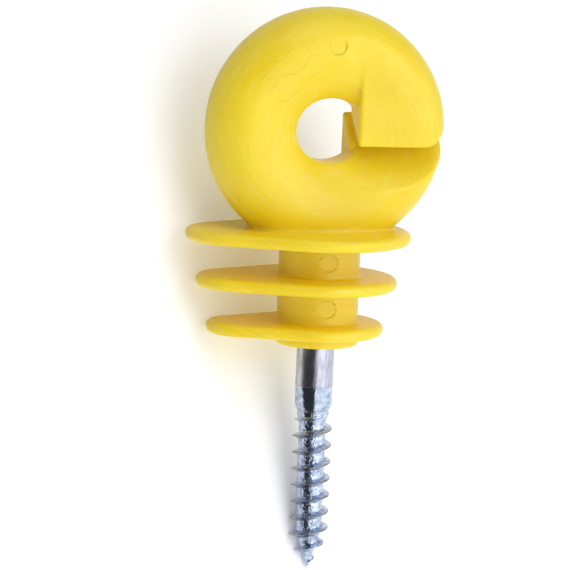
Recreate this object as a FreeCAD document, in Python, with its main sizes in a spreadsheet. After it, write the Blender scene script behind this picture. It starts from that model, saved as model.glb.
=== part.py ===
"""Fence insulator: a plastic wire ring with three drip discs, moulded round a steel wood screw.

Frame: millimetres, +Z up along the screw's axis. The origin is the centre of the collar's
underside, the face that stops against the post. The ring's parting plane is Y = 0, and the wire
goes in from +X, through the slanted slot between the two fingers.
"""

import FreeCAD, Part
import math
import os

import Sketcher
from FreeCAD import Placement, Rotation, Vector

doc = FreeCAD.newDocument("fence_insulator")

# ---------------------------------------------------------------- driving dimensions
DIMENSIONS = [
    # the ring
    ("ring_height", 33.2, "ring centre above the collar's underside"),
    ("crest_radius", 12.5, "ring centre to the crest of the tube"),
    ("tube_half_depth", 6.2, "half the ring's depth, and the radius of its outer round"),
    ("funnel_radius", 10.9, "radius of the arc from the crest into the hole"),
    ("section_inner", 4.0, "inner end of the tube's section, cut away by the hole"),
    ("hole_half_width", 5.5, "half the oval hole's width, along X"),
    ("hole_half_height", 4.95, "half the oval hole's height, along Z"),
    ("hole_offset", 0.3, "the hole's centre, towards the slot"),
    # the two fingers and the slot between them
    ("finger_face", 4.06, "flat ends of both fingers, from the ring's centre"),
    ("flat_depth", 5.62, "parting plane to the fingers' flat outer faces, level with the ring's centre"),
    ("flat_lean", 2.69, "lean of the flat outer faces, towards the slot"),
    ("finger_limit", 11.6, "the fingers fill the funnel up to this radius of the ring"),
    ("slot_width", 3.25, "wire slot, square to its slanted walls"),
    ("slot_angle", 38.7, "the slot's slope, low at the front and high at the back"),
    ("ramp_angle", 45.8, "steeper slope of the slot's outer mouth, on each side"),
    # the drip discs: round about the screw's axis, drawn out to a rounded tip towards -X
    ("disc_thickness", 1.9, "disc thickness"),
    ("disc_edge", 0.93, "edge rounding, nearly the full half thickness"),
    ("top_disc_height", 16.85, "middle of the top disc"),
    ("disc_spacing", 7.15, "from one disc to the next"),
    ("top_disc_radius", 13.95, "round part of the top disc"),
    ("top_disc_reach", 21.1, "screw axis to the tip of the top disc"),
    ("top_tip_radius", 8.4, "rounding of the top disc's tip"),
    ("disc_step", 1.85, "how much radius and reach fall from disc to disc"),
    ("tip_step", 1.3, "how much the tip's rounding falls from disc to disc"),
    # the necks and the collar
    ("neck_radius", 6.25, "necks between the discs"),
    ("neck_fillet", 0.5, "fillet between neck and disc"),
    ("collar_radius", 6.35, "collar under the lowest disc"),
    ("collar_height", 2.2, "collar, up into the lowest disc"),
    ("collar_edge", 0.35, "rounding of the collar's lower edge"),
    # ejector marks on the front centre line
    ("mark_radius", 1.3, "round ejector marks"),
    ("mark_depth", 0.2, "depth of the ejector marks"),
    ("ring_mark_radius", 13.2, "ring centre up to its ejector mark"),
    # the screw's plain shank and the end that the body holds
    ("shank_radius", 2.9, "plain shank"),
    ("shank_length", 9.7, "collar's underside to the shank's shoulder"),
    ("shoulder_length", 0.8, "chamfer below the plain shank"),
    ("blank_radius", 2.43, "unthreaded blank below the shoulder"),
    ("blank_length", 0.3, "length of the unthreaded blank"),
    ("seat_radius", 3.6, "thin flange seated flush in the collar's face"),
    ("seat_height", 0.5, "height of that flange"),
    ("anchor_radius", 2.6, "lands of the end held in the plastic"),
    ("groove_radius", 2.1, "grooves between the lands"),
    ("anchor_band", 2.4, "height of each land and each groove"),
    ("anchor_flat", 2.25, "axis to the flats that stop the screw turning"),
    # the wood thread
    ("core_radius", 2.08, "core of the thread"),
    ("thread_radius", 3.04, "crest of the thread"),
    ("thread_pitch", 2.6, "pitch of the thread"),
    ("flank_angle", 25.0, "each flank, from square to the axis"),
    ("crest_flat", 0.14, "width of the crest"),
    ("thread_on_blank", 0.5, "first length of the thread, still on the blank's diameter"),
    ("runout_length", 0.8, "taper from the blank down to the core"),
    ("lead_in", 2.2, "length over which the crest grows out of the blank"),
    ("screw_length", 35.3, "collar's underside to the gimlet point"),
    ("point_length", 6.0, "core's taper down to the point"),
    ("point_radius", 0.2, "blunt end of the point"),
    ("crest_taper", 5.1, "length over which the crest comes down to the point"),
    ("last_turn_length", 2.3, "steeper end of the crest's taper"),
    ("last_turn_radius", 1.95, "crest where the steeper end begins"),
    ("thread_phase", 39.7, "the ridge's angle about the axis at the collar's underside"),
]

sheet = doc.addObject("Spreadsheet::Sheet", "dims")
for row, (alias, value, note) in enumerate(DIMENSIONS, start=1):
    sheet.set(f"A{row}", alias)
    sheet.set(f"B{row}", str(value))
    sheet.set(f"C{row}", note)
    sheet.setAlias(f"B{row}", alias)
doc.recompute()

DISC_COUNT = 3
CLEAR = 30.0  # how far cutting tools reach past the body
SECTIONS_PER_TURN = 20  # cross-sections in one turn of the thread
FLANK_POINTS = 4  # steps along one flank's spiral
RIDGE_LEAST = 0.03  # what is left of the ridge at both of its ends


def size(alias):
    """The value of one driving dimension."""
    return float(sheet.get(alias))


def bind(item, **expressions):
    """Bind properties to the sheet. A double underscore stands for the dot in a property's path."""
    for path, expression in expressions.items():
        item.setExpression(path.replace("__", "."), expression)
    return item


def add(kind, name, **expressions):
    """Add one document object and bind its sizes."""
    item = doc.addObject(kind, name)
    item.Label = name
    return bind(item, **expressions)


def boolean(kind, name, base, tool):
    """A cut or a common of two objects."""
    item = add(kind, name)
    item.Base = base
    item.Tool = tool
    return item


def fuse(name, shapes):
    """One fused shape of several objects."""
    item = add("Part::MultiFuse", name)
    item.Shapes = shapes
    item.Refine = True
    return item


def round_edges(name, base, radius, wanted):
    """Fillet the edges of base that wanted() picks."""
    doc.recompute()
    picked = [i for i, edge in enumerate(base.Shape.Edges, start=1) if wanted(edge)]
    item = add("Part::Fillet", name)
    item.Base = base
    item.Edges = [(i, radius, radius) for i in picked]
    doc.recompute()
    return item


def extrude(name, base, direction, **expressions):
    """A solid extrusion, the same length both ways unless told otherwise."""
    item = add("Part::Extrusion", name, **expressions)
    item.Base = base
    item.DirMode = "Custom"
    item.Dir = direction
    item.Solid = True
    item.Symmetric = True
    return item


# ---------------------------------------------------------------- the ring
def ring_section():
    """The tube's section: a land on the hole's side, two funnel arcs and a round outside."""
    sketch = add("Sketcher::SketchObject", "ring_section", Placement__Base__z="dims.ring_height")
    crest, depth = size("crest_radius"), size("tube_half_depth")
    funnel, inner = size("funnel_radius"), size("section_inner")
    centre_y = funnel - depth
    swing = math.asin((crest - inner) / funnel)
    land_y = math.sqrt(funnel**2 - (crest - inner) ** 2) - centre_y
    z_axis = Vector(0, 0, 1)
    outer = Part.Circle(Vector(crest, 0, 0), z_axis, depth)
    front = Part.Circle(Vector(crest, centre_y, 0), z_axis, funnel)
    back = Part.Circle(Vector(crest, -centre_y, 0), z_axis, funnel)
    quarter = math.pi / 2
    sketch.addGeometry(Part.ArcOfCircle(outer, -quarter, quarter))
    sketch.addGeometry(Part.ArcOfCircle(front, -quarter - swing, -quarter))
    sketch.addGeometry(Part.ArcOfCircle(back, quarter, quarter + swing))
    sketch.addGeometry(Part.LineSegment(Vector(inner, land_y, 0), Vector(inner, -land_y, 0)))
    for first, first_end, second, second_end in (
        (0, 1, 1, 2),
        (0, 2, 2, 1),
        (2, 2, 3, 1),
        (3, 2, 1, 1),
    ):
        sketch.addConstraint(
            Sketcher.Constraint("Coincident", first, first_end, second, second_end)
        )
    sketch.addConstraint(Sketcher.Constraint("PointOnObject", 0, 3, -1))
    sketch.addConstraint(Sketcher.Constraint("Vertical", 0, 3, 1, 3))
    sketch.addConstraint(Sketcher.Constraint("Vertical", 0, 3, 2, 3))
    sketch.addConstraint(Sketcher.Constraint("Vertical", 0, 3, 0, 1))
    sketch.addConstraint(Sketcher.Constraint("Vertical", 0, 3, 0, 2))
    sketch.addConstraint(Sketcher.Constraint("Vertical", 3))
    for kind, value, name, alias, elements in (
        ("DistanceX", crest, "crest", "crest_radius", (-1, 1, 0, 3)),
        ("DistanceX", inner, "inner", "section_inner", (-1, 1, 3, 1)),
        ("Radius", depth, "round", "tube_half_depth", (0,)),
        ("Radius", funnel, "front", "funnel_radius", (1,)),
        ("Radius", funnel, "back", "funnel_radius", (2,)),
    ):
        index = sketch.addConstraint(Sketcher.Constraint(kind, *elements, value))
        sketch.renameConstraint(index, name)
        sketch.setExpression("Constraints." + name, "dims." + alias)
    return sketch


def ring():
    """The tube turned about Y, with the part below the top disc's middle taken off."""
    turned = add("Part::Revolution", "ring_turned", Base__z="dims.ring_height")
    turned.Source = ring_section()
    turned.Axis = Vector(0, 1, 0)
    turned.Angle = 360
    turned.Solid = True
    below = add(
        "Part::Box",
        "below_top_disc",
        Placement__Base__z=f"dims.top_disc_height - {CLEAR}",
    )
    below.Length = 2 * CLEAR
    below.Width = 2 * CLEAR
    below.Height = CLEAR
    bind(below, Placement__Base__x="-Length / 2", Placement__Base__y="-Width / 2")
    return boolean("Part::Cut", "ring_above_disc", turned, below)


def ring_hole():
    """The oval wire hole, through the ring along Y."""
    outline = add(
        "Part::Ellipse",
        "hole_outline",
        MajorRadius="dims.hole_half_width",
        MinorRadius="dims.hole_half_height",
        Placement__Base__x="dims.hole_offset",
        Placement__Base__z="dims.ring_height",
    )
    outline.Placement.Rotation = Rotation(Vector(1, 0, 0), 90)
    return extrude("ring_hole", outline, Vector(0, 1, 0), LengthFwd="4 * dims.tube_half_depth")


# ---------------------------------------------------------------- the fingers and the slot
def above_slot():
    """Everything on the +X side that lies above the slot's slanted middle plane."""
    above = add(
        "Part::Box",
        "above_slot",
        Length="2 * dims.crest_radius",
        Width="8 * dims.tube_half_depth",
        Height="4 * dims.tube_half_depth",
        Placement__Base__y="-4 * dims.tube_half_depth * cos(dims.slot_angle)",
        Placement__Base__z="dims.ring_height - 4 * dims.tube_half_depth * sin(dims.slot_angle)",
    )
    above.Placement.Rotation = Rotation(Vector(1, 0, 0), size("slot_angle"))
    return above


def front_finger(above):
    """The upper finger: it fills the funnel's front half, above the slot's middle plane."""
    block = add(
        "Part::Box",
        "finger_block",
        Length="dims.crest_radius - dims.finger_face",
        Width="2 * dims.tube_half_depth",
        Height="4 * dims.tube_half_depth",
        Placement__Base__x="dims.finger_face",
        Placement__Base__y="-Width",
        Placement__Base__z="dims.ring_height - 2 * dims.tube_half_depth",
    )
    crest = add(
        "Part::Cylinder",
        "crest_limit",
        Radius="dims.finger_limit",
        Height="4 * dims.tube_half_depth",
        Placement__Base__y="Height / 2",
        Placement__Base__z="dims.ring_height",
    )
    crest.Placement.Rotation = Rotation(Vector(1, 0, 0), 90)
    upper = boolean("Part::Common", "finger_above_slot", block, above)
    return boolean("Part::Common", "front_finger", upper, crest)


def front_trim(above):
    """What lies in front of the upper finger's flat outer face, crest of the tube included."""
    trim = add(
        "Part::Box",
        "trim_block",
        Length="2 * dims.crest_radius",
        Width="2 * dims.tube_half_depth",
        Height="4 * dims.crest_radius",
        Placement__Base__y="-dims.flat_depth - 2 * dims.tube_half_depth * cos(dims.flat_lean)"
        " + 2 * dims.crest_radius * sin(dims.flat_lean)",
        Placement__Base__z="dims.ring_height - 2 * dims.tube_half_depth * sin(dims.flat_lean)"
        " - 2 * dims.crest_radius * cos(dims.flat_lean)",
    )
    trim.Placement.Rotation = Rotation(Vector(1, 0, 0), size("flat_lean"))
    return boolean("Part::Common", "front_trim", trim, above)


def half_turned(name, front):
    """The front item turned half round about the ring's X axis: two mirrorings."""
    flipped = add("Part::Mirroring", f"{name}_flipped")
    flipped.Source = front
    flipped.Normal = Vector(0, 1, 0)
    back = add("Part::Mirroring", name, Base__z="dims.ring_height")
    back.Source = flipped
    back.Normal = Vector(0, 0, 1)
    return back


def wire_slot():
    """The slanted slot, from the hole out through the ring's +X side."""
    slot = add(
        "Part::Box",
        "wire_slot",
        Length="2 * dims.crest_radius",
        Width="6 * dims.tube_half_depth",
        Height="dims.slot_width",
        Placement__Base__y="-3 * dims.tube_half_depth * cos(dims.slot_angle)"
        " + dims.slot_width / 2 * sin(dims.slot_angle)",
        Placement__Base__z="dims.ring_height - 3 * dims.tube_half_depth * sin(dims.slot_angle)"
        " - dims.slot_width / 2 * cos(dims.slot_angle)",
    )
    slot.Placement.Rotation = Rotation(Vector(1, 0, 0), size("slot_angle"))
    return slot


def front_ramp():
    """The slot's mouth: from the parting plane its lower wall falls more steeply to the front."""
    ramp = add(
        "Part::Box",
        "front_ramp",
        Length="2 * dims.crest_radius",
        Width="3 * dims.tube_half_depth",
        Height="dims.slot_width / 2",
        Placement__Base__y="-3 * dims.tube_half_depth * cos(dims.ramp_angle)",
        Placement__Base__z="dims.ring_height - dims.slot_width / 2 / cos(dims.slot_angle)"
        " - 3 * dims.tube_half_depth * sin(dims.ramp_angle)",
    )
    ramp.Placement.Rotation = Rotation(Vector(1, 0, 0), size("ramp_angle"))
    return ramp


# ---------------------------------------------------------------- discs, necks and collar
def disc_outline(number):
    """A disc's plan: a round part about the axis, joined by tangents to a smaller tip."""
    drop = f" - {number} * dims.disc_step"
    radius = size("top_disc_radius") - number * size("disc_step")
    reach = size("top_disc_reach") - number * size("disc_step")
    tip = size("top_tip_radius") - number * size("tip_step")
    tip_x = tip - reach
    sketch = add(
        "Sketcher::SketchObject",
        f"disc_{number + 1}_outline",
        Placement__Base__z=f"dims.top_disc_height - {number} * dims.disc_spacing"
        " - dims.disc_thickness / 2",
    )
    lean = math.asin((radius - tip) / -tip_x)
    side = math.pi / 2 + lean
    z_axis = Vector(0, 0, 1)
    big = Part.Circle(Vector(0, 0, 0), z_axis, radius)
    small = Part.Circle(Vector(tip_x, 0, 0), z_axis, tip)

    def touch(centre_x, reach_out, sign):
        return Vector(centre_x + reach_out * math.cos(side), sign * reach_out * math.sin(side), 0)

    sketch.addGeometry(Part.ArcOfCircle(big, -side, side))
    sketch.addGeometry(Part.LineSegment(touch(0, radius, 1), touch(tip_x, tip, 1)))
    sketch.addGeometry(Part.ArcOfCircle(small, side, 2 * math.pi - side))
    sketch.addGeometry(Part.LineSegment(touch(tip_x, tip, -1), touch(0, radius, -1)))
    for first, first_end, second, second_end in (
        (0, 2, 1, 1),
        (1, 2, 2, 1),
        (2, 2, 3, 1),
        (3, 2, 0, 1),
    ):
        sketch.addConstraint(Sketcher.Constraint("Tangent", first, first_end, second, second_end))
    sketch.addConstraint(Sketcher.Constraint("Coincident", 0, 3, -1, 1))
    sketch.addConstraint(Sketcher.Constraint("PointOnObject", 2, 3, -1))
    tip_drop = f" - {number} * dims.tip_step"
    for kind, value, name, expression, elements in (
        ("Radius", radius, "round", "dims.top_disc_radius" + drop, (0,)),
        ("Radius", tip, "tip", "dims.top_tip_radius" + tip_drop, (2,)),
        (
            "DistanceX",
            -tip_x,
            "centres",
            f"(dims.top_disc_reach{drop}) - (dims.top_tip_radius{tip_drop})",
            (2, 3, 0, 3),
        ),
    ):
        index = sketch.addConstraint(Sketcher.Constraint(kind, *elements, value))
        sketch.renameConstraint(index, name)
        sketch.setExpression("Constraints." + name, expression)
    return sketch


def disc(number):
    """One drip disc with its rim fully rounded."""
    plate = extrude(
        f"disc_{number + 1}_plate",
        disc_outline(number),
        Vector(0, 0, 1),
        LengthFwd="dims.disc_thickness",
    )
    plate.Symmetric = False
    return round_edges(
        f"disc_{number + 1}",
        plate,
        size("disc_edge"),
        lambda edge: abs(edge.Vertexes[0].Z - edge.Vertexes[-1].Z) < 0.01,
    )


def collar():
    """The collar, its lower edge rounded."""
    plain = add(
        "Part::Cylinder",
        "collar_plain",
        Radius="dims.collar_radius",
        Height="dims.collar_height",
    )
    return round_edges(
        "collar", plain, size("collar_edge"), lambda edge: edge.BoundBox.ZMax < 0.01
    )


def ejector_mark(number, height, depth):
    """A shallow round recess in the front, on the centre line."""
    mark = add(
        "Part::Cylinder",
        f"ejector_mark_{number}",
        Radius="dims.mark_radius",
        Height="dims.tube_half_depth",
        Placement__Base__y=f"-({depth}) + dims.mark_depth",
        Placement__Base__z=height,
    )
    mark.Placement.Rotation = Rotation(Vector(1, 0, 0), 90)
    return mark


def insulator_body(anchor):
    """The whole moulding, with the screw's room taken out of it."""
    above = above_slot()
    finger = front_finger(above)
    bored = boolean("Part::Cut", "ring_bored", ring(), ring_hole())
    filled = fuse("ring_with_fingers", [bored, finger, half_turned("back_finger", finger)])
    ramp = front_ramp()
    opening = fuse("slot_with_mouths", [wire_slot(), ramp, half_turned("back_ramp", ramp)])
    slotted = boolean("Part::Cut", "ring_slotted", filled, opening)
    trim = front_trim(above)
    trims = fuse("finger_trims", [trim, half_turned("back_trim", trim)])
    trimmed = boolean("Part::Cut", "ring_trimmed", slotted, trims)
    neck = add(
        "Part::Cylinder",
        "neck",
        Radius="dims.neck_radius",
        Height="dims.top_disc_height - dims.collar_height / 2",
        Placement__Base__z="dims.collar_height / 2",
    )
    discs = [disc(number) for number in range(DISC_COUNT)]
    stack = fuse("disc_stack", [neck, collar(), *discs])
    faces = [
        size("top_disc_height") - number * size("disc_spacing") + side * size("disc_thickness") / 2
        for number in range(DISC_COUNT)
        for side in (-1, 1)
    ]
    corners = [height for height in faces[:-1] if height > size("collar_height")]

    def at_neck(edge):
        box = edge.BoundBox
        on_neck = abs(box.XMax - size("neck_radius")) < 0.01
        flat = box.ZLength < 0.01
        return on_neck and flat and any(abs(box.ZMin - height) < 0.01 for height in corners)

    filleted = round_edges("disc_stack_filleted", stack, size("neck_fillet"), at_neck)
    whole = fuse("moulding", [trimmed, filleted])
    marks = [ejector_mark(0, "dims.ring_height + dims.ring_mark_radius", "dims.tube_half_depth")]
    for neck_number in range(1, DISC_COUNT):
        half_gaps = 2 * neck_number - 1
        height = f"dims.top_disc_height - {half_gaps} * dims.disc_spacing / 2"
        marks.append(ejector_mark(neck_number, height, "dims.neck_radius"))
    marked = boolean("Part::Cut", "moulding_marked", whole, fuse("ejector_marks", marks))
    return boolean("Part::Cut", "insulator_body", marked, anchor)


# ---------------------------------------------------------------- the screw
def turned_length(name, radius, top, length, lower_radius=None):
    """One turned length of the screw, from top downwards, straight or tapered."""
    if lower_radius is None:
        item = add("Part::Cylinder", name, Radius=radius, Height=length)
    else:
        item = add("Part::Cone", name, Radius1=lower_radius, Radius2=radius, Height=length)
    return bind(item, Placement__Base__z=f"{top} - ({length})")


def anchor():
    """The end held in the plastic: flange, round root, then flatted lands with grooves between."""
    seat = turned_length("anchor_seat", "dims.seat_radius", "dims.seat_height", "dims.seat_height")
    radii = ("anchor_radius", "groove_radius") * 2 + ("anchor_radius",)
    bands = [
        turned_length(
            f"anchor_band_{number}", f"dims.{radius}", f"{number} * dims.anchor_band", "dims.anchor_band"
        )
        for number, radius in enumerate(radii, start=1)
    ]
    flats = add(
        "Part::Box",
        "anchor_flats",
        Length="4 * dims.anchor_radius",
        Width="2 * dims.anchor_flat",
        Height=f"{len(radii) - 1} * dims.anchor_band",
        Placement__Base__x="-2 * dims.anchor_radius",
        Placement__Base__y="-dims.anchor_flat",
        Placement__Base__z="dims.anchor_band",
    )
    root, *rest = bands
    flatted = boolean("Part::Common", "anchor_flatted", fuse("anchor_bar", rest), flats)
    return fuse("anchor", [flatted, root, seat])


def along(depth, stations):
    """Straight-line value between (depth, value) stations; depths grow towards the point."""
    for (upper, first), (lower, second) in zip(stations, stations[1:]):
        if depth <= lower:
            return first + (second - first) * (depth - upper) / (lower - upper)
    return stations[-1][1]


def threaded_length():
    """Core and ridge together: cross-sections that turn with the pitch, joined by ruled faces."""
    start = size("shank_length") + size("shoulder_length") + size("blank_length")
    end = size("screw_length")
    pitch = size("thread_pitch")
    on_blank = start + size("thread_on_blank")
    core_stations = [
        (start, size("blank_radius")),
        (on_blank, size("blank_radius")),
        (on_blank + size("runout_length"), size("core_radius")),
        (end - size("point_length"), size("core_radius")),
        (end, size("point_radius")),
    ]
    crest_stations = [
        (start, size("blank_radius") + RIDGE_LEAST),
        (start + size("lead_in"), size("thread_radius")),
        (end - size("crest_taper"), size("thread_radius")),
        (end - size("last_turn_length"), size("last_turn_radius")),
        (end, size("point_radius") + RIDGE_LEAST),
    ]
    turn_per_mm = 2 * math.pi / pitch
    half_crest = size("crest_flat") / 2 * turn_per_mm
    spread = math.tan(math.radians(size("flank_angle"))) * turn_per_mm

    def section(depth):
        """Core arc, rising flank, crest arc and falling flank, square to the axis."""
        core = along(depth, core_stations)
        crest = along(depth, crest_stations)
        half_root = half_crest + (crest - core) * spread
        turned = math.radians(size("thread_phase")) - depth * turn_per_mm

        def point(radius, angle):
            reach = Vector(math.cos(angle + turned), math.sin(angle + turned), 0) * radius
            return reach - Vector(0, 0, depth)

        def flank(foot, top):
            steps = [i / FLANK_POINTS for i in range(FLANK_POINTS + 1)]
            spiral = Part.BSplineCurve()
            spiral.interpolate(
                [
                    point(foot[0] + (top[0] - foot[0]) * t, foot[1] + (top[1] - foot[1]) * t)
                    for t in steps
                ]
            )
            return spiral.toShape()

        rising = flank((core, -half_root), (crest, -half_crest))
        falling = flank((crest, half_crest), (core, half_root))
        top = Part.Arc(point(crest, -half_crest), point(crest, 0), point(crest, half_crest))
        root = Part.Arc(
            point(core, half_root), point(core, math.pi), point(core, 2 * math.pi - half_root)
        )
        return Part.Wire([rising, top.toShape(), falling, root.toShape()])

    count = math.ceil((end - start) / pitch * SECTIONS_PER_TURN)
    depths = [start + (end - start) * i / count for i in range(count + 1)]
    item = add("Part::Feature", "threaded_length")
    item.Shape = Part.makeLoft([section(depth) for depth in depths], True, True)
    return item


def wood_screw(held_end):
    """Shank, shoulder, blank and threaded length, in one piece with the held end."""
    shoulder = "-dims.shank_length"
    blank = shoulder + " - dims.shoulder_length"
    lengths = [
        turned_length("shank", "dims.shank_radius", "0", "dims.shank_length"),
        turned_length(
            "shoulder", "dims.shank_radius", shoulder, "dims.shoulder_length", "dims.blank_radius"
        ),
        turned_length("blank", "dims.blank_radius", blank, "dims.blank_length"),
        threaded_length(),
    ]
    return fuse("wood_screw", [held_end, *lengths])


# ---------------------------------------------------------------- build, check and write
held_end = anchor()
screw = wood_screw(held_end)
body = insulator_body(held_end)
doc.recompute()

for item in doc.Objects:
    if "Invalid" in item.State or "Error" in item.State:
        raise RuntimeError(f"{item.Name} failed: {item.State}")

os.makedirs("parts", exist_ok=True)
for node in (body, screw):
    shape = node.Shape
    if shape.isNull() or not shape.isValid() or len(shape.Solids) != 1:
        raise RuntimeError(f"{node.Label}: {len(shape.Solids)} solids, valid {shape.isValid()}")
    box = shape.BoundBox
    print(
        node.Label,
        f"volume {shape.Volume:.1f} mm3",
        f"X {box.XMin:.2f}..{box.XMax:.2f} Y {box.YMin:.2f}..{box.YMax:.2f}",
        f"Z {box.ZMin:.2f}..{box.ZMax:.2f}",
    )
    shape.exportStep(f"parts/{node.Label}.step")
print(f"overlap {body.Shape.common(screw.Shape).Volume:.4f} mm3")
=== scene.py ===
import math

import bmesh
import bpy
import numpy as np
from mathutils import Matrix, Vector


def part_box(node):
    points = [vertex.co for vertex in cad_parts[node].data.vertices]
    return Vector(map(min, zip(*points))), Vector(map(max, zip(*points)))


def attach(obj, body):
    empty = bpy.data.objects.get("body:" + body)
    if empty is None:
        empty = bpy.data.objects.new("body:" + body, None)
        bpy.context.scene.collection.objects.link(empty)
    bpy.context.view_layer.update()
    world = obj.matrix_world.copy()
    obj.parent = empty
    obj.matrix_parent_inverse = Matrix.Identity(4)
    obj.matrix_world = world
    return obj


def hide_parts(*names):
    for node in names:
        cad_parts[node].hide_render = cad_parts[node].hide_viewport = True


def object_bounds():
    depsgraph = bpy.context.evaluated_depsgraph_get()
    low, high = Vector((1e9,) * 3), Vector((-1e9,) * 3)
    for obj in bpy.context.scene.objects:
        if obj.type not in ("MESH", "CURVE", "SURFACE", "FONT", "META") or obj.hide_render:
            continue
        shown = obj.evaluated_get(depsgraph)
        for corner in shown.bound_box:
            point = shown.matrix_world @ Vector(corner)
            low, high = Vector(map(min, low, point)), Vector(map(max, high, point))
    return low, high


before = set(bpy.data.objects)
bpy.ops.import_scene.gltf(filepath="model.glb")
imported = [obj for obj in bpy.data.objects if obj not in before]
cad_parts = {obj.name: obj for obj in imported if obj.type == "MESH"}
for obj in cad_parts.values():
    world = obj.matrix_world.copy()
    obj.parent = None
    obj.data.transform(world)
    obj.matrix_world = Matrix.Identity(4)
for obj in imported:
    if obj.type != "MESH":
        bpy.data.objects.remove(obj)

cad_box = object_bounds()
MM = 0.001

# ---------------------------------------------------------------- sizes of the moulding
RING_HEIGHT = 33.2
CREST_RADIUS = 12.5  # ring centre to the tube's crest
TUBE_HALF_DEPTH = 6.2  # also the radius of the tube's outer round
FUNNEL_RADIUS = 10.9  # arc from the crest into the hole
HOLE_HALF_WIDTH, HOLE_HALF_HEIGHT, HOLE_OFFSET = 5.5, 4.95, 0.3
HOLE_EDGE = 0.5
FINGER_FACE = 4.06  # flat ends of the fingers, from the ring's centre
FLAT_DEPTH, FLAT_SLOPE = 5.8, 0.018  # flat outer faces of the fingers, shallower at their lips
FLAT_EDGE, FLAT_START = 0.9, 3.0  # their edge blend, and how far out along X they begin
FINGER_EDGE, FINGER_ROOT = 0.4, 0.5
SLOT_WIDTH, SLOT_ANGLE = 3.25, math.radians(38.7)
MOUTH_ANGLE = math.radians(45.8)  # steeper slope of the slot's outer mouths
MOUTH_EDGE, MOUTH_FADE = 1.1, (3.5, 8.0)  # softer edge beside the hole, crisp by the second X
SLOT_START, SLOT_FADE = 4.6, 0.085  # short of this X the slot's walls run out into the funnel
DISC_THICKNESS, DISC_EDGE = 1.9, 0.93
TOP_DISC_HEIGHT, DISC_SPACING = 16.85, 7.15
TOP_DISC_RADIUS, TOP_DISC_REACH, TOP_TIP_RADIUS = 13.95, 21.1, 8.4
DISC_STEP, TIP_STEP = 1.85, 1.3
DISC_COUNT = 3
NECK_RADIUS, NECK_FILLET = 6.25, 0.6
RING_FILLET = 1.2
COLLAR_RADIUS, COLLAR_HEIGHT, COLLAR_EDGE = 6.35, 2.2, 0.35
MARK_RADIUS, MARK_DEPTH, MARK_EDGE = 1.38, 0.24, 0.06  # round ejector marks
RING_MARK_RADIUS = 13.2
BORE_RADIUS, BORE_DEPTH = 2.92, 12.05

# ---------------------------------------------------------------- sizes of the screw
SHANK_RADIUS, SHANK_LENGTH, SHOULDER_LENGTH = 2.9, 9.7, 0.8
ANCHOR_RADIUS, GROOVE_RADIUS, ANCHOR_BAND, ANCHOR_BANDS = 2.6, 2.1, 2.4, 5
BLANK_RADIUS, BLANK_LENGTH = 2.43, 0.3
CORE_RADIUS, CREST_RADIUS_OF_THREAD, THREAD_PITCH = 2.08, 3.04, 2.6
FLANK_ANGLE, CREST_FLAT = math.radians(25), 0.14
CREST_BLEND, ROOT_BLEND = 0.12, 0.3
THREAD_ON_BLANK, RUNOUT_LENGTH, LEAD_IN = 0.5, 0.8, 2.2
SCREW_LENGTH, POINT_LENGTH, POINT_RADIUS = 35.3, 6.0, 0.2
CREST_TAPER, LAST_TURN_LENGTH, LAST_TURN_RADIUS = 5.1, 2.3, 1.95
THREAD_PHASE = math.radians(39.7)
WITNESS_DEPTH, WITNESS_STEP = 6.6, 0.03  # fine line round the shank
TURN_STEPS = 120
# distances from the ridge's middle to the mesh's lines along the thread, closest at the flanks
RIDGE_STEPS = (0, 0.03, 0.06, 0.09, 0.13, 0.18, 0.26, 0.34, 0.42, 0.48, 0.54, 0.6, 0.68, 0.8, 1.0)
THREAD_START = SHANK_LENGTH + SHOULDER_LENGTH + BLANK_LENGTH
SHARP_EDGE = math.radians(40)
MERGE_REACH, DEGENERATE_REACH = 0.004, 0.001

# ---------------------------------------------------------------- the body's mesh
GRID_STEP = 0.2
GRID_MARGIN = 3 * GRID_STEP
FACE_BUDGET = 180_000
SETTLE_ROUNDS, SETTLE_AGAIN = 4, 2
SLOPE_REACH, NORMAL_REACH = 0.02, 0.03
LEAST_SLOPE, LEAST_MOVE = 0.05, 1e-9


# ---------------------------------------------------------------- the moulding's distance function
def soft_max(a, b, blend):
    """The greater of two distances, with the edge between them rounded over the blend."""
    h = np.maximum(blend - np.abs(a - b), 0) / blend
    return np.maximum(a, b) + h * h * blend / 4


def soft_min(a, b, blend):
    """The lesser of two distances, with a fillet of the blend between them."""
    return -soft_max(-a, -b, blend)


def smooth_step(share):
    """0 below 0, 1 above 1, and an easy curve between."""
    share = np.clip(share, 0, 1)
    return share * share * (3 - 2 * share)


def ring_distance(x, y, z):
    """The tube: round outside the crest, and one funnel arc each side inside it."""
    out = np.hypot(x, z) - CREST_RADIUS
    funnel_centre = FUNNEL_RADIUS - TUBE_HALF_DEPTH
    outside = np.hypot(out, y) - TUBE_HALF_DEPTH
    inside = np.hypot(out, np.abs(y) + funnel_centre) - FUNNEL_RADIUS
    tube = np.where(out > 0, outside, inside)
    reach = np.hypot((x - HOLE_OFFSET) / HOLE_HALF_WIDTH, z / HOLE_HALF_HEIGHT)
    hole = (reach - 1) * HOLE_HALF_HEIGHT
    return soft_max(tube, -hole, HOLE_EDGE)


def flat_face(x, y, z):
    """Beyond the front finger's flat outer face. Short of its start the face moves clear."""
    return -y - FLAT_DEPTH - FLAT_SLOPE * z - np.maximum(FLAT_START - x, 0) / 2


def finger_distance(x, y, z):
    """One finger, on the front and above the slot's middle plane."""
    block = soft_max(flat_face(x, y, z), FINGER_FACE - x, FINGER_EDGE)
    above = y * math.sin(SLOT_ANGLE) - z * math.cos(SLOT_ANGLE)
    limit = np.hypot(x, z) - CREST_RADIUS
    return np.maximum(np.maximum(block, y), np.maximum(above, limit))


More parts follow.
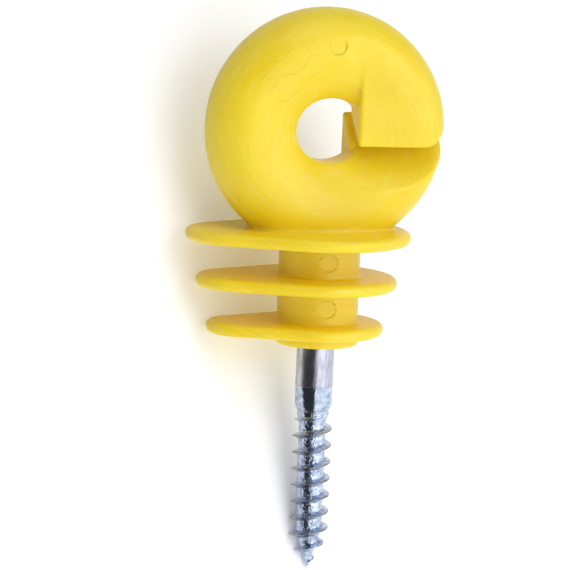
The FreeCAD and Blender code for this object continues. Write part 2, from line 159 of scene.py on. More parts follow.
def slot_side(x, y, z, solid):
    """The solid below the slot. Its mouth is on the front, and its edge is softest by the hole."""
    wall = z * math.cos(SLOT_ANGLE) - y * math.sin(SLOT_ANGLE) + SLOT_WIDTH / 2
    foot = SLOT_WIDTH / 2 / math.cos(SLOT_ANGLE) * math.cos(MOUTH_ANGLE)
    mouth = z * math.cos(MOUTH_ANGLE) - y * math.sin(MOUTH_ANGLE) + foot
    beyond = soft_max(wall, mouth, FINGER_EDGE) - SLOT_FADE * np.maximum(SLOT_START - x, 0) ** 2
    soft_end, crisp_start = MOUTH_FADE
    softness = smooth_step((crisp_start - x) / (crisp_start - soft_end))
    softness = softness * np.clip(-y / TUBE_HALF_DEPTH, 0, 1)
    return soft_max(solid, beyond, FINGER_EDGE + (MOUTH_EDGE - FINGER_EDGE) * softness)


def disc_distance(x, y, z, number):
    """One drip disc: two circles joined by their tangents, with a fully rounded rim."""
    radius = TOP_DISC_RADIUS - number * DISC_STEP
    tip = TOP_TIP_RADIUS - number * TIP_STEP
    gap = TOP_DISC_REACH - number * DISC_STEP - tip
    lean = (radius - tip) / gap
    rise = math.sqrt(1 - lean**2)
    side, along = np.abs(y), -x
    turn = along * rise - side * lean
    straight = side * rise + along * lean - radius
    plan = np.where(
        turn < 0,
        np.hypot(side, along) - radius,
        np.where(turn > gap * rise, np.hypot(side, along - gap) - tip, straight),
    )
    height = TOP_DISC_HEIGHT - number * DISC_SPACING
    flat = np.abs(z - height) - (DISC_THICKNESS / 2 - DISC_EDGE)
    rim = plan + DISC_EDGE
    return np.hypot(np.maximum(rim, 0), np.maximum(flat, 0)) + np.minimum(
        np.maximum(rim, flat), 0
    ) - DISC_EDGE


def body_distance(x, y, z):
    """Distance from the moulding's skin, negative inside it."""
    up = z - RING_HEIGHT
    ring = ring_distance(x, y, up)
    front = soft_min(ring, finger_distance(x, y, up), FINGER_ROOT)
    filled = soft_min(front, finger_distance(x, -y, -up), FINGER_ROOT)
    below = soft_max(slot_side(x, y, up, filled), flat_face(x, -y, -up), FLAT_EDGE)
    above = soft_max(slot_side(x, -y, -up, filled), flat_face(x, y, up), FLAT_EDGE)
    slotted = np.where(x > 0, np.minimum(below, above), filled)
    ring_part = np.maximum(slotted, TOP_DISC_HEIGHT - z)
    out = np.hypot(x, y)
    stack = np.maximum(out - NECK_RADIUS, np.abs(z - TOP_DISC_HEIGHT / 2) - TOP_DISC_HEIGHT / 2)
    for number in range(DISC_COUNT):
        stack = soft_min(stack, disc_distance(x, y, z, number), NECK_FILLET)
    collar_side = np.abs(z - COLLAR_HEIGHT / 2) - COLLAR_HEIGHT / 2
    collar = soft_max(out - COLLAR_RADIUS, collar_side, COLLAR_EDGE)
    whole = soft_min(np.minimum(stack, collar), ring_part, RING_FILLET)
    marks = [(RING_HEIGHT + RING_MARK_RADIUS, TUBE_HALF_DEPTH)]
    for neck in range(1, DISC_COUNT):
        marks.append((TOP_DISC_HEIGHT - DISC_SPACING * (neck - 1 / 2), NECK_RADIUS))
    for height, depth in marks:
        floor = y + depth - MARK_DEPTH
        mark = np.maximum(np.hypot(x, z - height) - MARK_RADIUS, floor)
        whole = soft_max(whole, -mark, MARK_EDGE)
    bore = np.maximum(out - BORE_RADIUS, z - BORE_DEPTH)
    return np.maximum(np.maximum(whole, -bore), -z)


# ---------------------------------------------------------------- meshing
def sample_grid(low, high, step):
    """The distance function at every point of a regular grid."""
    axes = [np.arange(a, b + step, step, dtype=np.float32) for a, b in zip(low, high)]
    values = np.empty([len(axis) for axis in axes], dtype=np.float32)
    y, z = np.meshgrid(axes[1], axes[2], indexing="ij")
    for i, x in enumerate(axes[0]):
        values[i] = body_distance(np.full_like(y, x), y, z)
    return axes, values


def surface_net(axes, values):
    """One vertex in each grid cell that the skin crosses, and a quad round each crossed edge."""
    inside = values < 0
    corners = np.zeros([n - 1 for n in inside.shape], dtype=np.uint8)
    for dx in (0, 1):
        for dy in (0, 1):
            for dz in (0, 1):
                part = tuple(slice(d, d + n) for d, n in zip((dx, dy, dz), corners.shape))
                corners += inside[part]
    crossed = (corners > 0) & (corners < 8)
    cells = np.argwhere(crossed)
    index = np.full(corners.shape, -1, dtype=np.int32)
    index[crossed] = np.arange(len(cells), dtype=np.int32)
    step = axes[0][1] - axes[0][0]
    origin = np.array([axis[0] for axis in axes])
    points = (cells + 0.5) * step + origin
    quads = []
    for axis in range(3):
        first = np.take(inside, range(0, inside.shape[axis] - 1), axis)
        second = np.take(inside, range(1, inside.shape[axis]), axis)
        edges = np.argwhere(first != second)
        u, v = (axis + 1) % 3, (axis + 2) % 3
        limit = np.array(corners.shape)
        fits = (edges[:, u] > 0) & (edges[:, v] > 0)
        fits &= (edges[:, u] < limit[u]) & (edges[:, v] < limit[v])
        edges = edges[fits]
        leaving = first[tuple(edges.T)]
        ring = []
        for du, dv in ((-1, -1), (0, -1), (0, 0), (-1, 0)):
            cell = edges.copy()
            cell[:, u] += du
            cell[:, v] += dv
            ring.append(index[tuple(cell.T)])
        quad = np.stack(ring, axis=1)
        quads.append(np.where(leaving[:, None], quad, quad[:, ::-1]))
    return points, np.concatenate(quads)


def slopes(points, reach=SLOPE_REACH):
    """The distance and its gradient at each point."""
    x, y, z = points.T
    gradient = np.stack(
        [
            body_distance(x + reach, y, z) - body_distance(x - reach, y, z),
            body_distance(x, y + reach, z) - body_distance(x, y - reach, z),
            body_distance(x, y, z + reach) - body_distance(x, y, z - reach),
        ],
        axis=1,
    ) / (2 * reach)
    return body_distance(x, y, z), gradient


def settle(points, rounds, most):
    """Move points onto the skin along the gradient."""
    for _ in range(rounds):
        distance, gradient = slopes(points)
        steep = np.maximum((gradient**2).sum(axis=1), LEAST_SLOPE)
        move = -gradient * (distance / steep)[:, None]
        length = np.linalg.norm(move, axis=1, keepdims=True)
        points = points + move * np.minimum(1, most / np.maximum(length, LEAST_MOVE))
    return points


def new_mesh(name, points, faces):
    """A mesh in metres from points in millimetres and equal-sided faces."""
    mesh = bpy.data.meshes.new(name)
    mesh.vertices.add(len(points))
    mesh.vertices.foreach_set("co", (points * MM).astype(np.float32).ravel())
    sides = faces.shape[1]
    mesh.loops.add(faces.size)
    mesh.loops.foreach_set("vertex_index", faces.astype(np.int32).ravel())
    mesh.polygons.add(len(faces))
    mesh.polygons.foreach_set("loop_start", np.arange(0, faces.size, sides, dtype=np.int32))
    mesh.update(calc_edges=True)
    mesh.validate()
    return mesh


def new_object(name, mesh):
    """Put a mesh into the scene."""
    obj = bpy.data.objects.new(name, mesh)
    bpy.context.scene.collection.objects.link(obj)
    return obj


def vertex_array(mesh):
    """A mesh's points in millimetres."""
    flat = np.empty(len(mesh.vertices) * 3, dtype=np.float32)
    mesh.vertices.foreach_get("co", flat)
    return flat.reshape(-1, 3).astype(float) / MM


def shade_by(mesh, normals):
    """Smooth shading with exact normals."""
    mesh.polygons.foreach_set("use_smooth", np.ones(len(mesh.polygons), dtype=bool))
    mesh.normals_split_custom_set_from_vertices(normals.tolist())


def make_body():
    """The moulding as one mesh, thinned where it is smooth."""
    low, high = (np.array(corner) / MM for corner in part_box("insulator_body"))
    axes, values = sample_grid(low - GRID_MARGIN, high + GRID_MARGIN, GRID_STEP)
    points, quads = surface_net(axes, values)
    points = settle(points, SETTLE_ROUNDS, GRID_STEP)
    fine = new_object("fine", new_mesh("fine", points, quads))
    thin = fine.modifiers.new("thin", "DECIMATE")
    thin.ratio = FACE_BUDGET / (2 * len(quads))
    thin.use_collapse_triangulate = True
    ready = fine.evaluated_get(bpy.context.evaluated_depsgraph_get())
    mesh = bpy.data.meshes.new_from_object(ready)
    mesh.name = "moulded_body"
    bpy.data.objects.remove(fine)
    points = settle(vertex_array(mesh), SETTLE_AGAIN, GRID_STEP / 2)
    mesh.vertices.foreach_set("co", (points * MM).astype(np.float32).ravel())
    _, gradient = slopes(points, NORMAL_REACH)
    shade_by(mesh, gradient / np.linalg.norm(gradient, axis=1, keepdims=True))
    return new_object("moulded_body", mesh)


# ---------------------------------------------------------------- the screw's mesh
def thread_profile(offset, ridge):
    """How far the ridge stands above the core at an axial offset from its middle."""
    fall = (np.abs(offset) - CREST_FLAT / 2) / math.tan(FLANK_ANGLE)
    flank = soft_min(ridge - fall, ridge, CREST_BLEND)
    return soft_max(flank, 0, ROOT_BLEND)


def thread_radii(depth):
    """Core and crest radius at each depth below the collar."""
    on_blank = THREAD_START + THREAD_ON_BLANK
    core_stations = (
        (THREAD_START, BLANK_RADIUS),
        (on_blank, BLANK_RADIUS),
        (on_blank + RUNOUT_LENGTH, CORE_RADIUS),
        (SCREW_LENGTH - POINT_LENGTH, CORE_RADIUS),
        (SCREW_LENGTH, POINT_RADIUS),
    )
    crest_stations = (
        (THREAD_START, BLANK_RADIUS),
        (THREAD_START + LEAD_IN, CREST_RADIUS_OF_THREAD),
        (SCREW_LENGTH - CREST_TAPER, CREST_RADIUS_OF_THREAD),
        (SCREW_LENGTH - LAST_TURN_LENGTH, LAST_TURN_RADIUS),
        (SCREW_LENGTH, POINT_RADIUS),
    )
    return [np.interp(depth, *zip(*stations)) for stations in (core_stations, crest_stations)]


def lattice_faces(rows):
    """Quads between neighbouring rows of point numbers."""
    quads = np.stack([rows[:-1, :-1], rows[1:, :-1], rows[1:, 1:], rows[:-1, 1:]], axis=-1)
    return quads.reshape(-1, 4)


def threaded_skin():
    """The threaded length's points and faces, on grid lines that run along the thread."""
    near = np.array(RIDGE_STEPS)
    offsets = np.concatenate([[-THREAD_PITCH / 2], -near[:0:-1], near])
    turns = math.ceil((SCREW_LENGTH - THREAD_START) / THREAD_PITCH) + 2
    steps = np.arange(turns * TURN_STEPS + 1)
    angle = steps[:, None] * (2 * math.pi / TURN_STEPS) + THREAD_PHASE
    lowest = math.floor(-(SCREW_LENGTH + THREAD_PITCH) / THREAD_PITCH) * THREAD_PITCH
    height = lowest + steps[:, None] * (THREAD_PITCH / TURN_STEPS) + offsets[None, :]
    clipped = np.clip(height, -SCREW_LENGTH, -THREAD_START)
    core, crest = thread_radii(-clipped)
    radius = core + thread_profile(offsets[None, :] + (clipped - height), crest - core)
    radius = np.minimum(radius, crest)
    points = np.stack([radius * np.cos(angle), radius * np.sin(angle), clipped], axis=-1)
    index = np.arange(radius.size).reshape(radius.shape)
    last, first = index[:-TURN_STEPS, -1], index[TURN_STEPS:, 0]  # one turn meets the next
    seam = np.stack([last[:-1], last[1:], first[1:], first[:-1]], axis=-1)
    return points.reshape(-1, 3), np.concatenate([lattice_faces(index), seam])


def turned_profile():
    """Height and radius stations of the plain lengths, down to the thread's start."""
    held_length = ANCHOR_BANDS * ANCHOR_BAND
    stations = [(held_length, 0.0), (held_length, ANCHOR_RADIUS)]
    for band in range(ANCHOR_BANDS - 1, 0, -1):
        radius = GROOVE_RADIUS if band % 2 == 0 else ANCHOR_RADIUS
        stations += [(band * ANCHOR_BAND, stations[-1][1]), (band * ANCHOR_BAND, radius)]
    drawn_radius = SHANK_RADIUS - WITNESS_STEP
    return stations + [
        (0.0, ANCHOR_RADIUS),
        (0.0, SHANK_RADIUS),
        (-WITNESS_DEPTH, SHANK_RADIUS),
        (-WITNESS_DEPTH - WITNESS_STEP, drawn_radius),
        (-SHANK_LENGTH, drawn_radius),
        (-SHANK_LENGTH - SHOULDER_LENGTH, BLANK_RADIUS),
        (-THREAD_START, BLANK_RADIUS),
    ]


def turned_skin():
    """The plain lengths' points and faces: one ring of points at each station."""
    height, radius = np.array(turned_profile()).T[:, :, None]
    around = np.arange(TURN_STEPS) * (2 * math.pi / TURN_STEPS) + THREAD_PHASE
    points = np.stack(
        [radius * np.cos(around), radius * np.sin(around), height + 0 * around], axis=-1
    )
    index = np.arange(points.size // 3).reshape(len(height), TURN_STEPS)
    closed = np.concatenate([index, index[:, :1]], axis=1)
    return points.reshape(-1, 3), lattice_faces(closed)


def make_screw():
    """The screw: turned and threaded lengths welded into one mesh with crisp edges."""
    thread_points, thread_faces = threaded_skin()
    turned_points, turned_faces = turned_skin()
    points = np.concatenate([thread_points, turned_points])
    faces = np.concatenate([thread_faces, turned_faces + len(thread_points)])
    mesh = new_mesh("zinc_screw", points, faces)
    obj = new_object("zinc_screw", mesh)
    work = bmesh.new()
    work.from_mesh(mesh)
    bmesh.ops.remove_doubles(work, verts=work.verts, dist=MERGE_REACH * MM)
    bmesh.ops.dissolve_degenerate(work, edges=work.edges, dist=DEGENERATE_REACH * MM)
    bmesh.ops.recalc_face_normals(work, faces=work.faces)
    for face in work.faces:
        face.smooth = True
    for edge in work.edges:
        if len(edge.link_faces) == 2 and edge.calc_face_angle(0) > SHARP_EDGE:
            edge.smooth = False
    work.to_mesh(mesh)
    work.free()
    return obj


# ---------------------------------------------------------------- materials
PLASTIC_DEEP, PLASTIC_CLEAR = (0.875, 0.652, 0.006), (0.915, 0.70, 0.013)
PLASTIC_GRAIN, PLASTIC_FLOW = (0.97, 0.82, 0.16), (0.98, 0.84, 0.20)
PLASTIC_SCUFF, PLASTIC_SPECK = (0.55, 0.36, 0.008), (0.30, 0.20, 0.01)
PLASTIC_ROUGHNESS, ZINC_ROUGHNESS = (0.36, 0.46), (0.16, 0.3)
SUBSURFACE_WEIGHT = 0.6
SUBSURFACE_RADIUS, SUBSURFACE_SCALE = (1.0, 0.6, 0.12), 0.002
ZINC_DARK, ZINC_BRIGHT = (0.33, 0.40, 0.53), (0.62, 0.71, 0.88)
SHANK_DARK, SHANK_BRIGHT = (0.37, 0.38, 0.44), (0.62, 0.63, 0.72)
WORN_CREST, WORN_LINE = (0.36, 0.32, 0.30), (0.36, 0.30, 0.24)
# scales of the noises, per metre
BROAD_SCALE, GRAIN_SCALE, FLOW_SCALE, BEND_SCALE = 110.0, 1600.0, 1500.0, 160.0
BLOTCH_SCALE, STREAK_SCALE, CRINKLE_SCALE, SKIN_SCALE = 1300.0, 700.0, 2100.0, 2600.0
FLOW_TURN, FLOW_BEND = 1.2, 2.2  # the flow marks' change per radian, and how far they wander
GRAIN_SHARE, FLOW_SHARE, WORN_SHARE = 0.18, 0.26, 0.75
GRAIN_DEPTH, FLOW_DEPTH, MARK_BUMP_DEPTH = 0.08, 0.1, 0.05
CRINKLE_DEPTH, SKIN_DEPTH, STREAK_DEPTH = 0.22, 0.06, 0.04
DRAWN_FADE, CRINKLE_FADE = 0.15, 1.5  # lengths over which one look gives way to the next
WORN_RADII = (2.84, 2.98)  # the thread's plating wears from the first radius outwards
WORN_LINES = ((WITNESS_DEPTH, 0.09), (SHANK_LENGTH + SHOULDER_LENGTH * 0.8, 0.12))  # depth, width
# Marks on the ring's front. The lines of each have a turn in degrees, a scale, a wobble and a
# width, and the patch that they fill has a place from the ring's centre, a reach and a soft rim.
SCUFFS = ((-36, 480.0, 3.0, 0.14), (-6.4, 12.4, 2.0, 1.6))
SEAMS = ((-42, 95.0, 8.0, 0.02), (-7.2, 8.0, 3.6, 1.4))
NICKS = ((40, 420.0, 1.5, 0.2), (8.8, 6.8, 0.9, 0.5))
MARK_STRENGTH, SPECK_STRENGTH = 0.2, 0.6
SPECK_SCALE, SPECK_SIZE, SPECK_SOFT = 330.0, 0.055, 0.025
SPECK_CHOICE = (0.9, 0.91)  # a cell whose own number is above these has a speck


class Nodes:
    """A short way to write a material's nodes."""

    def __init__(self, name):
        self.material = bpy.data.materials.new(name)
        self.material.use_nodes = True
        self.tree = self.material.node_tree
        self.tree.nodes.clear()

    def add(self, kind, settings=None, **inputs):
        """A node with its settings. An input is a name or i and a number, and is set or linked."""
        node = self.tree.nodes.new(kind)
        for name, value in (settings or {}).items():
            setattr(node, name, value)
        for name, value in inputs.items():
            key = int(name[1:]) if name[1:].isdigit() else name.replace("_", " ")
            self.put(value, node.inputs[key])
        return node

    def put(self, value, socket):
        """Link another node's output to a socket, or set the socket's own value."""
        if isinstance(value, bpy.types.NodeSocket):
            self.tree.links.new(value, socket)
        elif isinstance(value, tuple) and socket.type == "RGBA" and len(value) == 3:
            socket.default_value = (*value, 1)
        else:
            socket.default_value = value

    def link(self, output, node, name):
        """Join an output to a node's input."""
        self.tree.links.new(output, node.inputs[name])

    def between(self, value, low_end, high_end, to_low=0.0, to_high=1.0):
        """A value moved from one range into another, clamped."""
        ends = {"i1": low_end, "i2": high_end, "i3": to_low, "i4": to_high}
        return self.add("ShaderNodeMapRange", Value=value, **ends).outputs["Result"]

    def math(self, operation, *values):
        """Arithmetic on one or two values."""
        inputs = {f"i{i}": value for i, value in enumerate(values)}
        return self.add("ShaderNodeMath", {"operation": operation}, **inputs).outputs["Value"]

    def noise(self, vector, scale, detail, stretch=(1, 1, 1)):
        """Noise about 0.5, its scale per metre, squeezed along the axes that are stretched."""
        moved = self.add("ShaderNodeMapping", Vector=vector, Scale=stretch).outputs["Vector"]
        return self.add("ShaderNodeTexNoise", Vector=moved, Scale=scale, Detail=detail).outputs["Fac"]

    def mixed(self, factor, first, second):
        """A mix of two colours, each a colour or another node's output."""
        node = self.add("ShaderNodeMix", {"data_type": "RGBA"}, i0=factor, i6=first, i7=second)
        return node.outputs[2]

    def bump(self, height, strength, depth, under=None, inward=False):
        """The normal of a bump with a depth in millimetres, laid over the one under it."""
        inputs = {"Strength": strength, "Distance": depth * MM, "Height": height}
        node = self.add("ShaderNodeBump", {"invert": inward}, **inputs)
        if under is not None:
            self.link(under, node, "Normal")
        return node.outputs["Normal"]

    def finish(self, shader):
        """Send a shader to the material's surface."""
        self.link(shader, self.add("ShaderNodeOutputMaterial"), "Surface")
        return self.material


def plastic_material():
    """Yellow polyethylene: satin and slightly translucent, with flow marks, scuffs and specks."""
    n = Nodes("body_plastic_yellow")
    place = n.add("ShaderNodeTexCoord").outputs["Object"]
    parts = n.add("ShaderNodeSeparateXYZ", Vector=place).outputs

    def near(x, up, reach, soft):
        """1 on the ring's front about a spot, falling to 0."""
        spot = (x * MM, -TUBE_HALF_DEPTH * MM, (RING_HEIGHT + up) * MM)
        node = n.add("ShaderNodeVectorMath", {"operation": "DISTANCE"}, i0=place, i1=spot)
        return n.between(node.outputs["Value"], (reach + soft) * MM, reach * MM)

    def lines(angle, scale, wobble, width):
        """Thin wavy lines across the front, 1 on a line."""
        turn = (0, math.radians(angle), 0)
        turned = n.add("ShaderNodeMapping", Vector=place, Rotation=turn).outputs["Vector"]
        wave = n.add("ShaderNodeTexWave", Vector=turned, Scale=scale, Distortion=wobble, Detail=2.0)
        wave.inputs["Detail Scale"].default_value = 1.5
        return n.between(wave.outputs["Fac"], width, 0.0)

    broad = n.noise(place, BROAD_SCALE, 3.0)
    fine = n.noise(place, GRAIN_SCALE, 2.0)
    colour = n.mixed(n.between(broad, 0.35, 0.65), PLASTIC_DEEP, PLASTIC_CLEAR)
    colour = n.mixed(n.between(fine, 0.45, 0.75, 0.0, GRAIN_SHARE), colour, PLASTIC_GRAIN)

    # flow marks run round the ring, as the plastic filled it
    up = n.math("SUBTRACT", parts["Z"], RING_HEIGHT * MM)
    turn = n.math("ARCTAN2", up, parts["X"])
    flat = n.add("ShaderNodeCombineXYZ", X=parts["X"], Y=up).outputs["Vector"]
    radius = n.add("ShaderNodeVectorMath", {"operation": "LENGTH"}, i0=flat).outputs["Value"]
    bend = n.noise(place, BEND_SCALE, 2.0)
    ripple = n.math("ADD", radius, n.math("MULTIPLY", bend, FLOW_BEND * MM))
    along = n.math("MULTIPLY", turn, FLOW_TURN * MM)
    around = n.add("ShaderNodeCombineXYZ", X=along, Y=ripple).outputs["Vector"]
    flow = n.noise(around, FLOW_SCALE, 4.0)
    colour = n.mixed(n.between(flow, 0.52, 0.72, 0.0, FLOW_SHARE), colour, PLASTIC_FLOW)

    # scuffs and longer seams on the ring's upper left, and a few nicks on the finger
    marks = 0.0
    for drawn, patch in (SCUFFS, SEAMS, NICKS):
        marks = n.math("MAXIMUM", marks, n.math("MULTIPLY", lines(*drawn), near(*patch)))
    colour = n.mixed(n.math("MULTIPLY", marks, MARK_STRENGTH), colour, PLASTIC_SCUFF)

    # a few dark specks, each at the middle of a chosen cell
    cells = n.add("ShaderNodeTexVoronoi", Vector=place, Scale=SPECK_SCALE)
    share = n.add("ShaderNodeSeparateColor", Color=cells.outputs["Color"]).outputs["Red"]
    chosen = n.between(share, *SPECK_CHOICE)
    middle = n.between(cells.outputs["Distance"], SPECK_SIZE, SPECK_SIZE - SPECK_SOFT)
    specks = n.math("MULTIPLY", middle, chosen)
    colour = n.mixed(n.math("MULTIPLY", specks, SPECK_STRENGTH), colour, PLASTIC_SPECK)

    skin = n.bump(fine, 0.12, GRAIN_DEPTH)
    skin = n.bump(flow, 0.16, FLOW_DEPTH, under=skin)
    skin = n.bump(marks, 0.35, MARK_BUMP_DEPTH, under=skin, inward=True)
    rough = n.between(broad, 0.3, 0.7, *PLASTIC_ROUGHNESS)
    shader = n.add("ShaderNodeBsdfPrincipled", Base_Color=colour, Roughness=rough)
    shader.inputs["Specular IOR Level"].default_value = 0.5
    shader.inputs["Subsurface Weight"].default_value = SUBSURFACE_WEIGHT
    shader.inputs["Subsurface Radius"].default_value = SUBSURFACE_RADIUS
    shader.inputs["Subsurface Scale"].default_value = SUBSURFACE_SCALE
    n.link(skin, shader, "Normal")
    return n.finish(shader.outputs["BSDF"])


def zinc_material():
    """Bluish zinc plate: drawn shank, crinkled below it, worn brownish grey on the crests."""
    n = Nodes("screw_zinc_plate")
    place = n.add("ShaderNodeTexCoord").outputs["Object"]
    parts = n.add("ShaderNodeSeparateXYZ", Vector=place).outputs
    flat = n.add("ShaderNodeCombineXYZ", X=parts["X"], Y=parts["Y"]).outputs["Vector"]
    radius = n.add("ShaderNodeVectorMath", {"operation": "LENGTH"}, i0=flat).outputs["Value"]
    drawn_end, all_crinkled = WITNESS_DEPTH + DRAWN_FADE, SHANK_LENGTH + CRINKLE_FADE
    drawn = n.between(parts["Z"], -drawn_end * MM, -WITNESS_DEPTH * MM)
    threaded = n.between(parts["Z"], -all_crinkled * MM, -SHANK_LENGTH * MM, 1.0, 0.0)
    crest = n.between(radius, WORN_RADII[0] * MM, WORN_RADII[1] * MM)
    blotch = n.noise(place, BLOTCH_SCALE, 3.0)
    streak = n.noise(place, STREAK_SCALE, 5.0, (4, 4, 0.6))
    plate = n.mixed(n.between(blotch, 0.35, 0.65), ZINC_DARK, ZINC_BRIGHT)
    shank = n.mixed(n.between(streak, 0.35, 0.65), SHANK_DARK, SHANK_BRIGHT)
    colour = n.mixed(drawn, plate, shank)
    colour = n.mixed(n.math("MULTIPLY", crest, threaded), colour, WORN_CREST)
    for depth, width in WORN_LINES:
        away = n.math("ABSOLUTE", n.math("ADD", parts["Z"], depth * MM))
        colour = n.mixed(n.between(away, width * MM, 0.0, 0.0, WORN_SHARE), colour, WORN_LINE)
    crinkle = n.noise(place, CRINKLE_SCALE, 3.0)
    skin = n.bump(crinkle, n.math("MULTIPLY", threaded, 0.9), CRINKLE_DEPTH)
    skin = n.bump(n.noise(place, SKIN_SCALE, 2.0), 0.5, SKIN_DEPTH, under=skin)
    skin = n.bump(streak, n.math("MULTIPLY", drawn, 0.6), STREAK_DEPTH, under=skin)
    rough = n.between(drawn, 0.0, 1.0, *ZINC_ROUGHNESS)
    shader = n.add("ShaderNodeBsdfPrincipled", Base_Color=colour, Roughness=rough, Metallic=1.0)
    n.link(skin, shader, "Normal")
    return n.finish(shader.outputs["BSDF"])


def glowing(n, colour, roughness, glow):
    """A matte shader with a white glow of its own."""
    shader = n.add("ShaderNodeBsdfPrincipled", Base_Color=colour, Roughness=roughness)
    shader.inputs["Emission Color"].default_value = (1, 1, 1, 1)
    shader.inputs["Emission Strength"].default_value = glow
    return shader.outputs["BSDF"]


def plain_material(name, colour, roughness=0.8, glow=0.0):
    """A matte surface for the stage."""
    n = Nodes(name)
    return n.finish(glowing(n, colour, roughness, glow))


# ---------------------------------------------------------------- the object
body = make_body()
body.data.materials.append(plastic_material())
screw = make_screw()
screw.data.materials.append(zinc_material())
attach(body, "root")
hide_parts("insulator_body")
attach(screw, "root")
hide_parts("wood_screw")

# ---------------------------------------------------------------- camera
AZIMUTH, ELEVATION, ROLL = math.radians(13.84), math.radians(8.87), math.radians(2.35)
DISTANCE, FOCAL_LENGTH = 0.541, 218.5  # metres, millimetres
CLIP_START, CLIP_END = 0.01, 20
low, high = cad_box
AIM_OFFSET = Vector((-3.23, 0, 0.68)) * MM
aim = (low + high) / 2 + AIM_OFFSET
aim.y = 0


def camera_axes():
    """Right, up and back of the camera, with its roll."""
    back = Vector(
        (
            -math.sin(AZIMUTH) * math.cos(ELEVATION),
            -math.cos(AZIMUTH) * math.cos(ELEVATION),
            math.sin(ELEVATION),
        )
    )
    right = Vector((math.cos(AZIMUTH), -math.sin(AZIMUTH), 0))
    up = back.cross(right)
    return (
        right * math.cos(ROLL) + up * math.sin(ROLL),
        up * math.cos(ROLL) - right * math.sin(ROLL),
        back,
    )


def make_camera():
    """The camera, at the place and lens that give the object its size in the picture."""
    data = bpy.data.cameras.new("camera")
    data.lens = FOCAL_LENGTH
    data.clip_start, data.clip_end = CLIP_START, CLIP_END
    obj = bpy.data.objects.new("camera", data)
    bpy.context.scene.collection.objects.link(obj)
    right, up, back = camera_axes()
    turn = Matrix((right, up, back)).transposed().to_4x4()
    obj.matrix_world = Matrix.Translation(aim + back * DISTANCE) @ turn
    bpy.context.scene.camera = obj


make_camera()


# ---------------------------------------------------------------- stage and light, in metres
STAGE_WHITE, STAGE_DARK = (0.9, 0.9, 0.92), (0.02, 0.02, 0.024)
FLOOR_SIZE, FLOOR_GLOW, FLOOR_GAP = 6, 0.55, 0.8 * MM
CARD_SIZE, CARD_GLOW, CARD_ROUGHNESS, CARD_GAP = 3, 0.17, 0.7, 0.4 * MM
WALL_STEPS, WALL_GAP = 25, 0.3  # the dark walls' own sizes are in millimetres
SKY_COLOUR, SKY_STRENGTH = (0.93, 0.96, 1.0), 0.26


def direction(azimuth, elevation):
    """Unit vector from the object outwards. Azimuth 0 is the front, and grows towards +X."""
    a, e = math.radians(azimuth), math.radians(elevation)
    return Vector((math.sin(a) * math.cos(e), -math.cos(a) * math.cos(e), math.sin(e)))


def place_facing(obj, position, towards):
    """Put an object at a position with its local Z axis along a direction."""
    turn = Vector(towards).to_track_quat("Z", "Y").to_matrix().to_4x4()
    obj.matrix_world = Matrix.Translation(position) @ turn


def panel(name, width, length, position, towards, material):
    """A flat rectangle of the stage, in metres."""
    x, y = width / 2 / MM, length / 2 / MM
    corners = np.array([(-x, -y, 0), (x, -y, 0), (x, y, 0), (-x, y, 0)], dtype=float)
    obj = new_object(name, new_mesh(name, corners, np.array([[0, 1, 2, 3]])))
    obj.data.materials.append(material)
    place_facing(obj, position, towards)
    return obj


def soft_box(name, azimuth, elevation, distance, width, height, radiance):
    """A rectangular soft box that faces the object, with its angles in degrees."""
    data = bpy.data.lights.new(name, "AREA")
    data.shape = "RECTANGLE"
    data.size, data.size_y = width, height
    data.energy = radiance * math.pi * width * height
    obj = bpy.data.objects.new(name, data)
    bpy.context.scene.collection.objects.link(obj)
    outward = direction(azimuth, elevation)
    place_facing(obj, aim + outward * distance, outward)
    return obj


def card_material():
    """White card: lit on its front, clear from behind so that the object shows from the back."""
    n = Nodes("stage_card")
    front = glowing(n, STAGE_WHITE, CARD_ROUGHNESS, CARD_GLOW)
    clear = n.add("ShaderNodeBsdfTransparent").outputs["BSDF"]
    side = n.add("ShaderNodeNewGeometry").outputs["Backfacing"]
    mix = n.add("ShaderNodeMixShader", i0=side, i1=front, i2=clear)
    return n.finish(mix.outputs["Shader"])


white = plain_material("stage_white", STAGE_WHITE, glow=FLOOR_GLOW)
panel("floor", FLOOR_SIZE, FLOOR_SIZE, (0, 0, low.z - FLOOR_GAP), (0, 0, 1), white)

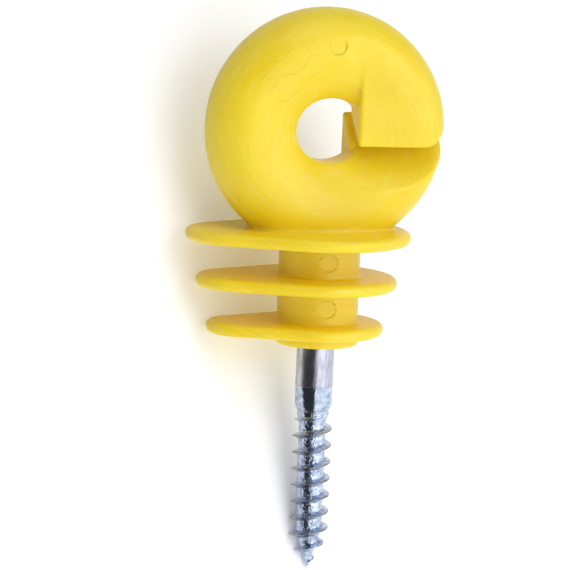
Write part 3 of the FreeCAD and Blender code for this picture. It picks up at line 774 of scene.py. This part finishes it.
# The object lies back against a white card, on the straight sides of its discs and its point.
tip_gap = TOP_DISC_REACH - TOP_TIP_RADIUS
card_turn = math.degrees(math.asin((TOP_DISC_RADIUS - TOP_TIP_RADIUS) / tip_gap))
card_lean = math.degrees(math.atan2(TOP_DISC_RADIUS, TOP_DISC_HEIGHT + SCREW_LENGTH))
facing = direction(card_turn, card_lean)
foot = Vector((0, 0, low.z)) - facing * CARD_GAP
card = panel("card", CARD_SIZE, CARD_SIZE, foot, facing, card_material())
card.visible_diffuse = False


def dark_wall(name, angles, radius, foot, top, material):
    """A dark patch of floor and wall about the screw, seen only in its plating."""
    ray = np.array([tuple(direction(angle, 0)) for angle in np.linspace(*angles, WALL_STEPS)])
    floor_height = low.z / MM + WALL_GAP
    rows = ((foot, floor_height), (radius, floor_height), (radius, top))
    points = np.concatenate([ray * reach + np.array([0, 0, height]) for reach, height in rows])
    faces = lattice_faces(np.arange(len(points)).reshape(len(rows), WALL_STEPS))
    obj = new_object(name, new_mesh(name, points, faces))
    obj.data.materials.append(material)
    obj.visible_camera = False
    obj.visible_diffuse = False
    obj.visible_transmission = False
    obj.visible_shadow = False


dark = plain_material("stage_dark", STAGE_DARK)
# the azimuths between which each wall stands, then its distance, its foot's reach and its top
dark_wall("dark_front", (-62, -6), 170, 5, 270, dark)
dark_wall("dark_side", (-94, -58), 18, 4, -1, dark)

# azimuth, elevation, distance, width, height and radiance; a sheen is seen only in reflections
soft_box("key", 33, 10, 1.0, 0.85, 0.8, 1.0)
sheens = (
    soft_box("sheen", 33, 10, 0.97, 0.85, 0.8, 1.95),
    soft_box("side_sheen", 86, 10, 0.97, 0.6, 0.8, 1.3),
)
for sheen in sheens:
    sheen.visible_diffuse = False
front = soft_box("front", 26, 27, 1.0, 0.6, 0.6, 1.85)
front.visible_glossy = False
soft_box("top", 4, 66, 1.0, 0.8, 0.8, 1.6)
world = bpy.data.worlds.new("world")
world.use_nodes = True
background = world.node_tree.nodes["Background"].inputs
background["Color"].default_value = (*SKY_COLOUR, 1)
background["Strength"].default_value = SKY_STRENGTH
bpy.context.scene.world = world
bpy.context.scene.view_settings.view_transform = "Standard"
